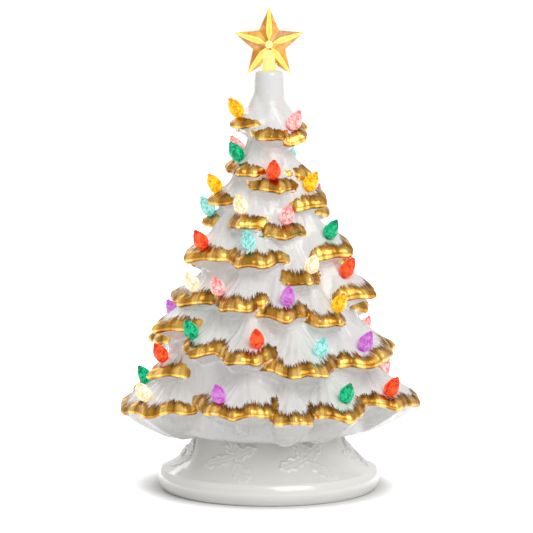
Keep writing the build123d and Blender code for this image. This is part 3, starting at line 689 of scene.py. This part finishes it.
places = vertex_places(star.data)
offset = places - np.array(star_centre)
bearing = np.arctan2(offset[:, 0], offset[:, 2])
arm = np.round(bearing / (2.0 * pi / star_points)) * (2.0 * pi / star_points)
along = offset[:, 0] * np.sin(arm) + offset[:, 2] * np.cos(arm)
aside = np.abs(offset[:, 0] * np.cos(arm) - offset[:, 2] * np.sin(arm))
half = np.interp(along, *crest_halves)
on_face = (np.abs(offset[:, 1]) > rim_half) & (along < star_radius)
on_face &= (places[:, 2] > collar_top) | (np.abs(places[:, 0]) > collar_half)
bar = np.sqrt(np.clip(1.0 - (aside / half) ** 2, 0.0, 1.0)) * on_face * (along > crest_start)
from_centre = np.hypot(offset[:, 0], offset[:, 2])
knob = np.clip(1.0 - (from_centre / star_knob) ** 2, 0.0, 1.0) * on_face
lifted = bar * crest_rise + (np.sqrt(knob) - 1.0) * knob_sink * (knob > 0.0)
places[:, 1] += np.sign(offset[:, 1]) * lifted
star.data.vertices.foreach_set("co", places.ravel())
star.data.update()
smooth_skin(star)
sideways = np.abs(places[:, 0])
stem = (sideways < stem_half) & (places[:, 2] < stem_top)
stem |= (sideways < throat_half) & (places[:, 2] < throat_top)
# lit_side marks one flank of each arm for painted light.
lit_side = np.sign((offset[:, 0] * np.cos(arm) - offset[:, 2] * np.sin(arm)) * np.sign(np.cos(arm) + 0.4))
keep_attributes(star.data, bar=np.maximum(bar, knob > 0.25), rim=aside / np.maximum(half, 1e-4), stem=stem,
                lit_side=lit_side)

amber = Finish("amber_plastic", {"Roughness": 0.16, "IOR": 1.5, "Coat Weight": 0.15, "Coat Roughness": 0.04,
                                 "Emission Strength": 0.6})
swirl = amber.noise(amber.place(), 200.0, 3.0, 0.6)
# Painted light: the lit side of each arm is painted a little lighter, over random swirls of tone.
flank_tone_and_painted_side_light = (swirl + amber.attribute("lit_side") * 0.10).step(0.3, 0.75)
flank_tone_and_painted_side_light = amber.mixed(flank_tone_and_painted_side_light, (0.46, 0.16, 0.003, 1.0), (0.86, 0.42, 0.06, 1.0))
# Painted highlight: the crest glow is painted palest towards the crest's edges.
glow = (swirl * 0.6 + amber.attribute("rim") * 0.6).step(0.3, 1.0)
glow = amber.mixed(glow, (1.0, 0.68, 0.04, 1.0), (1.0, 0.93, 0.34, 1.0))
# Painted glow on the crests, knob and stem, by emission.
painted_glow_mask = amber.attribute("bar").step(0.15, 0.6).most(amber.attribute("stem") * 0.75)
amber_and_painted_glow = amber.mixed(painted_glow_mask, flank_tone_and_painted_side_light, glow)
amber.set("Base Color", amber.mixed(0.35, amber_and_painted_glow, (0.0, 0.0, 0.0, 1.0)))
amber.set("Emission Color", amber_and_painted_glow)
amber.bump(swirl, 0.0005, 0.35)
star.data.materials.append(amber.material)
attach(star, "star")
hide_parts("star_topper")


# Foot. Slip-cast with a round rim band and a hollow flare that carries sprigs of holly in low relief,
# under a glossy cream glaze. Inside are the ledge for the base plate and the pierced deck.
foot_ring, foot_bulge, foot_band = (0.083, 0.0), (0.088, 0.0075), (0.085, 0.017)
foot_flare, foot_seat = (0.070, 0.027), (0.0575, 0.048)
foot_inside = [(0.0503, 0.048), (0.05, 0.0483), (0.05, 0.0544), (0.0494, 0.055), (0.0466, 0.055),
               (0.046, 0.0544), (0.046, 0.047), (0.0223, 0.047), (0.022, 0.0467), (0.022, 0.0423),
               (0.0223, 0.042), (0.0475, 0.042), (0.070, 0.017), (0.070, 0.008), (0.0757, 0.008),
               (0.076, 0.0077), (0.076, 0.0006), (0.0766, 0.0)]
foot_steps, rim_points, flare_points = 640, 22, 60
sprig_count = 7
sprig_turn = radians(25.0)
sprig_path = 0.040
sprig_size = 0.04
small_sprig_share = 0.22
# One row a leaf: how far aside and up its middle is, in sprig sizes, its lean and its length share.
leaf_rows = [(-0.27, 0.04, 200.0, 1.0), (0.16, 0.24, 28.0, 1.0), (0.30, -0.20, -48.0, 1.05),
             (-0.02, 0.34, 118.0, 0.7)]
leaf_length, leaf_half_width, leaf_height = 0.026, 0.0068, 0.0011
leaf_edge, leaf_rib, rib_margin = 0.0012, 0.0007, 0.0008
on_line_within = 0.0001
relief_top, relief_start, relief_start_fade, relief_end_fade = 0.0478, 0.021, 0.003, 0.002


def arc_through(start, middle, end, count):
    """Points along the circular arc through three points, without the last one."""
    (ax, ay), (bx, by), (cx, cy) = start, middle, end
    a, b, c = ax * ax + ay * ay, bx * bx + by * by, cx * cx + cy * cy
    scale = 2.0 * (ax * (by - cy) + bx * (cy - ay) + cx * (ay - by))
    x = (a * (by - cy) + b * (cy - ay) + c * (ay - by)) / scale
    y = (a * (cx - bx) + b * (ax - cx) + c * (bx - ax)) / scale
    first, mid, last = (np.arctan2(py - y, px - x) for px, py in (start, middle, end))
    mid = first + (mid - first + pi) % (2.0 * pi) - pi
    last = mid + (last - mid + pi) % (2.0 * pi) - pi
    radius = np.hypot(ax - x, ay - y)
    return [(x + radius * cos(turn), y + radius * sin(turn))
            for turn in np.linspace(first, last, count, endpoint=False)]


outline = arc_through(foot_ring, foot_bulge, foot_band, rim_points)
outline += arc_through(foot_band, foot_flare, foot_seat, flare_points)
draft = bmesh.new()
ring = [draft.verts.new((radius, 0.0, height)) for radius, height in outline + [foot_seat] + foot_inside]
edges = [draft.edges.new(pair) for pair in zip(ring, ring[1:] + ring[:1])]
bmesh.ops.spin(draft, geom=ring + edges, axis=(0.0, 0.0, 1.0), cent=(0.0, 0.0, 0.0), steps=foot_steps,
               angle=2.0 * pi, use_merge=True)
bmesh.ops.recalc_face_normals(draft, faces=draft.faces)
foot_mesh = bpy.data.meshes.new("glazed_foot")
draft.to_mesh(foot_mesh)
draft.free()

places = vertex_places(foot_mesh)
normals = vertex_normals(foot_mesh)
radii = np.hypot(places[:, 0], places[:, 1])
line_radii, line_heights = np.array(outline).T
line_path = np.concatenate([[0.0], np.cumsum(np.hypot(np.diff(line_heights), np.diff(line_radii)))])
on_line = np.abs(radii - np.interp(places[:, 2], line_heights, line_radii)) < on_line_within
outer = on_line & (places[:, 2] < relief_top)
path = np.interp(places[:, 2], line_heights, line_path)
azimuth = np.arctan2(places[:, 0], -places[:, 1])
raised = np.zeros(len(places))
for number in range(sprig_count):
    centre = sprig_turn + number * 2.0 * pi / sprig_count
    across = ((azimuth - centre + pi) % (2.0 * pi) - pi) * radii
    rise = path - sprig_path
    size = 1.0 - small_sprig_share * (number % 2)
    for leaf_aside, leaf_rise, lean, stretch in leaf_rows:
        x, y = across / size - leaf_aside * sprig_size, rise / size - leaf_rise * sprig_size
        way = radians(lean if number % 2 == 0 else 180.0 - lean)
        u = (x * cos(way) + y * sin(way)) / (leaf_length * stretch) + 0.5
        v = -x * sin(way) + y * cos(way)
        teeth = 0.62 + 0.38 * np.abs(np.cos(pi * (u * 3.5 + 0.25)))
        edge = leaf_half_width * np.sqrt(np.clip(np.sin(pi * np.clip(u, 0.0, 1.0)), 0.0, 1.0)) * teeth
        inward = edge - np.abs(v)
        body = np.clip(inward / leaf_edge, 0.0, 1.0)
        body *= 0.45 + 0.55 * np.exp(-((inward - leaf_edge) / leaf_edge) ** 2)
        rib = 0.35 * np.exp(-(v / leaf_rib) ** 2) * (inward > rib_margin)
        raised = np.maximum(raised, (body + rib) * ((u > 0.0) & (u < 1.0)))
raised *= outer * np.clip((path - relief_start) / relief_start_fade, 0.0, 1.0)
raised *= np.clip((line_path[-1] - path) / relief_end_fade, 0.0, 1.0)
places += normals * (raised * leaf_height)[:, None]
foot_mesh.vertices.foreach_set("co", places.ravel())
foot_mesh.update()
foot = bpy.data.objects.new("glazed_foot", foot_mesh)
bpy.context.collection.objects.link(foot)
smooth_skin(foot)
cream = Finish("cream_glaze", {"IOR": 1.5, "Coat Weight": 0.5, "Coat Roughness": 0.05})
cloud = cream.noise(cream.place(), 25.0, 3.0)
cream.set("Base Color", cream.mixed(cloud, (0.77, 0.755, 0.72, 1.0), (0.82, 0.805, 0.775, 1.0)))
cream.set("Roughness", cream.noise(cream.place(), 60.0) * 0.08 + 0.14)
cream.bump(cream.noise(cream.place(), 120.0, 3.0), 0.0004, 0.4)
foot_mesh.materials.append(cream.material)
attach(foot, "foot")
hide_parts("ceramic_foot")


# Light unit. The moulded plate, box and door, the cells, the boards and lamps, the steel contacts and
# the leads keep their modelled shapes and get the finish that each has.
def moulded(name, dark, pale, roughness, grain=700.0, metallic=0.0, glow=0.0):
    finish = Finish(name, {"Metallic": metallic, "Emission Strength": glow})
    speckle = finish.noise(finish.place(), grain, 3.0, 0.6)
    tint = finish.mixed(speckle, dark, pale)
    finish.set("Base Color", tint)
    finish.set("Emission Color", tint)
    finish.set("Roughness", speckle * 0.15 + roughness)
    finish.bump(speckle, 0.0002, 0.4)
    return finish.material


finishes = {
    "black_plastic": (moulded("black_plastic", (0.010, 0.010, 0.011, 1.0), (0.022, 0.022, 0.023, 1.0), 0.42),
                      ["base_plate", "battery_box", "battery_door", "switch_housing", "control_chip"]),
    "white_plastic": (moulded("white_plastic", (0.70, 0.70, 0.68, 1.0), (0.78, 0.78, 0.76, 1.0), 0.38),
                      ["switch_slider", "led_post"]),
    "cell_jacket": (moulded("cell_jacket", (0.012, 0.018, 0.030, 1.0), (0.030, 0.040, 0.060, 1.0), 0.22,
                            grain=90.0),
                    ["battery_1", "battery_2", "battery_3"]),
    "spring_steel": (moulded("spring_steel", (0.42, 0.41, 0.39, 1.0), (0.62, 0.61, 0.58, 1.0), 0.24,
                             grain=400.0, metallic=1.0),
                     ["hinge_pin", "contact_strip_front", "contact_strip_rear"]),
    "board_green": (moulded("board_green", (0.004, 0.050, 0.016, 1.0), (0.010, 0.110, 0.040, 1.0), 0.30,
                            grain=300.0),
                    ["control_board", "led_board"]),
    "lamp_clear": (moulded("lamp_clear", (0.95, 0.70, 0.34, 1.0), (1.0, 0.86, 0.58, 1.0), 0.12,
                           grain=250.0, glow=0.8),
                   ["led_lamps"]),
    "lead_red": (moulded("lead_red", (0.36, 0.008, 0.008, 1.0), (0.52, 0.02, 0.015, 1.0), 0.36),
                 ["lamp_lead_red", "switch_leads"]),
    "lead_black": (moulded("lead_black", (0.008, 0.008, 0.008, 1.0), (0.020, 0.020, 0.020, 1.0), 0.36),
                   ["lamp_lead_black", "board_leads"]),
}
for material, names in finishes.values():
    for name in names:
        nodes[name].data.materials.clear()
        nodes[name].data.materials.append(material)
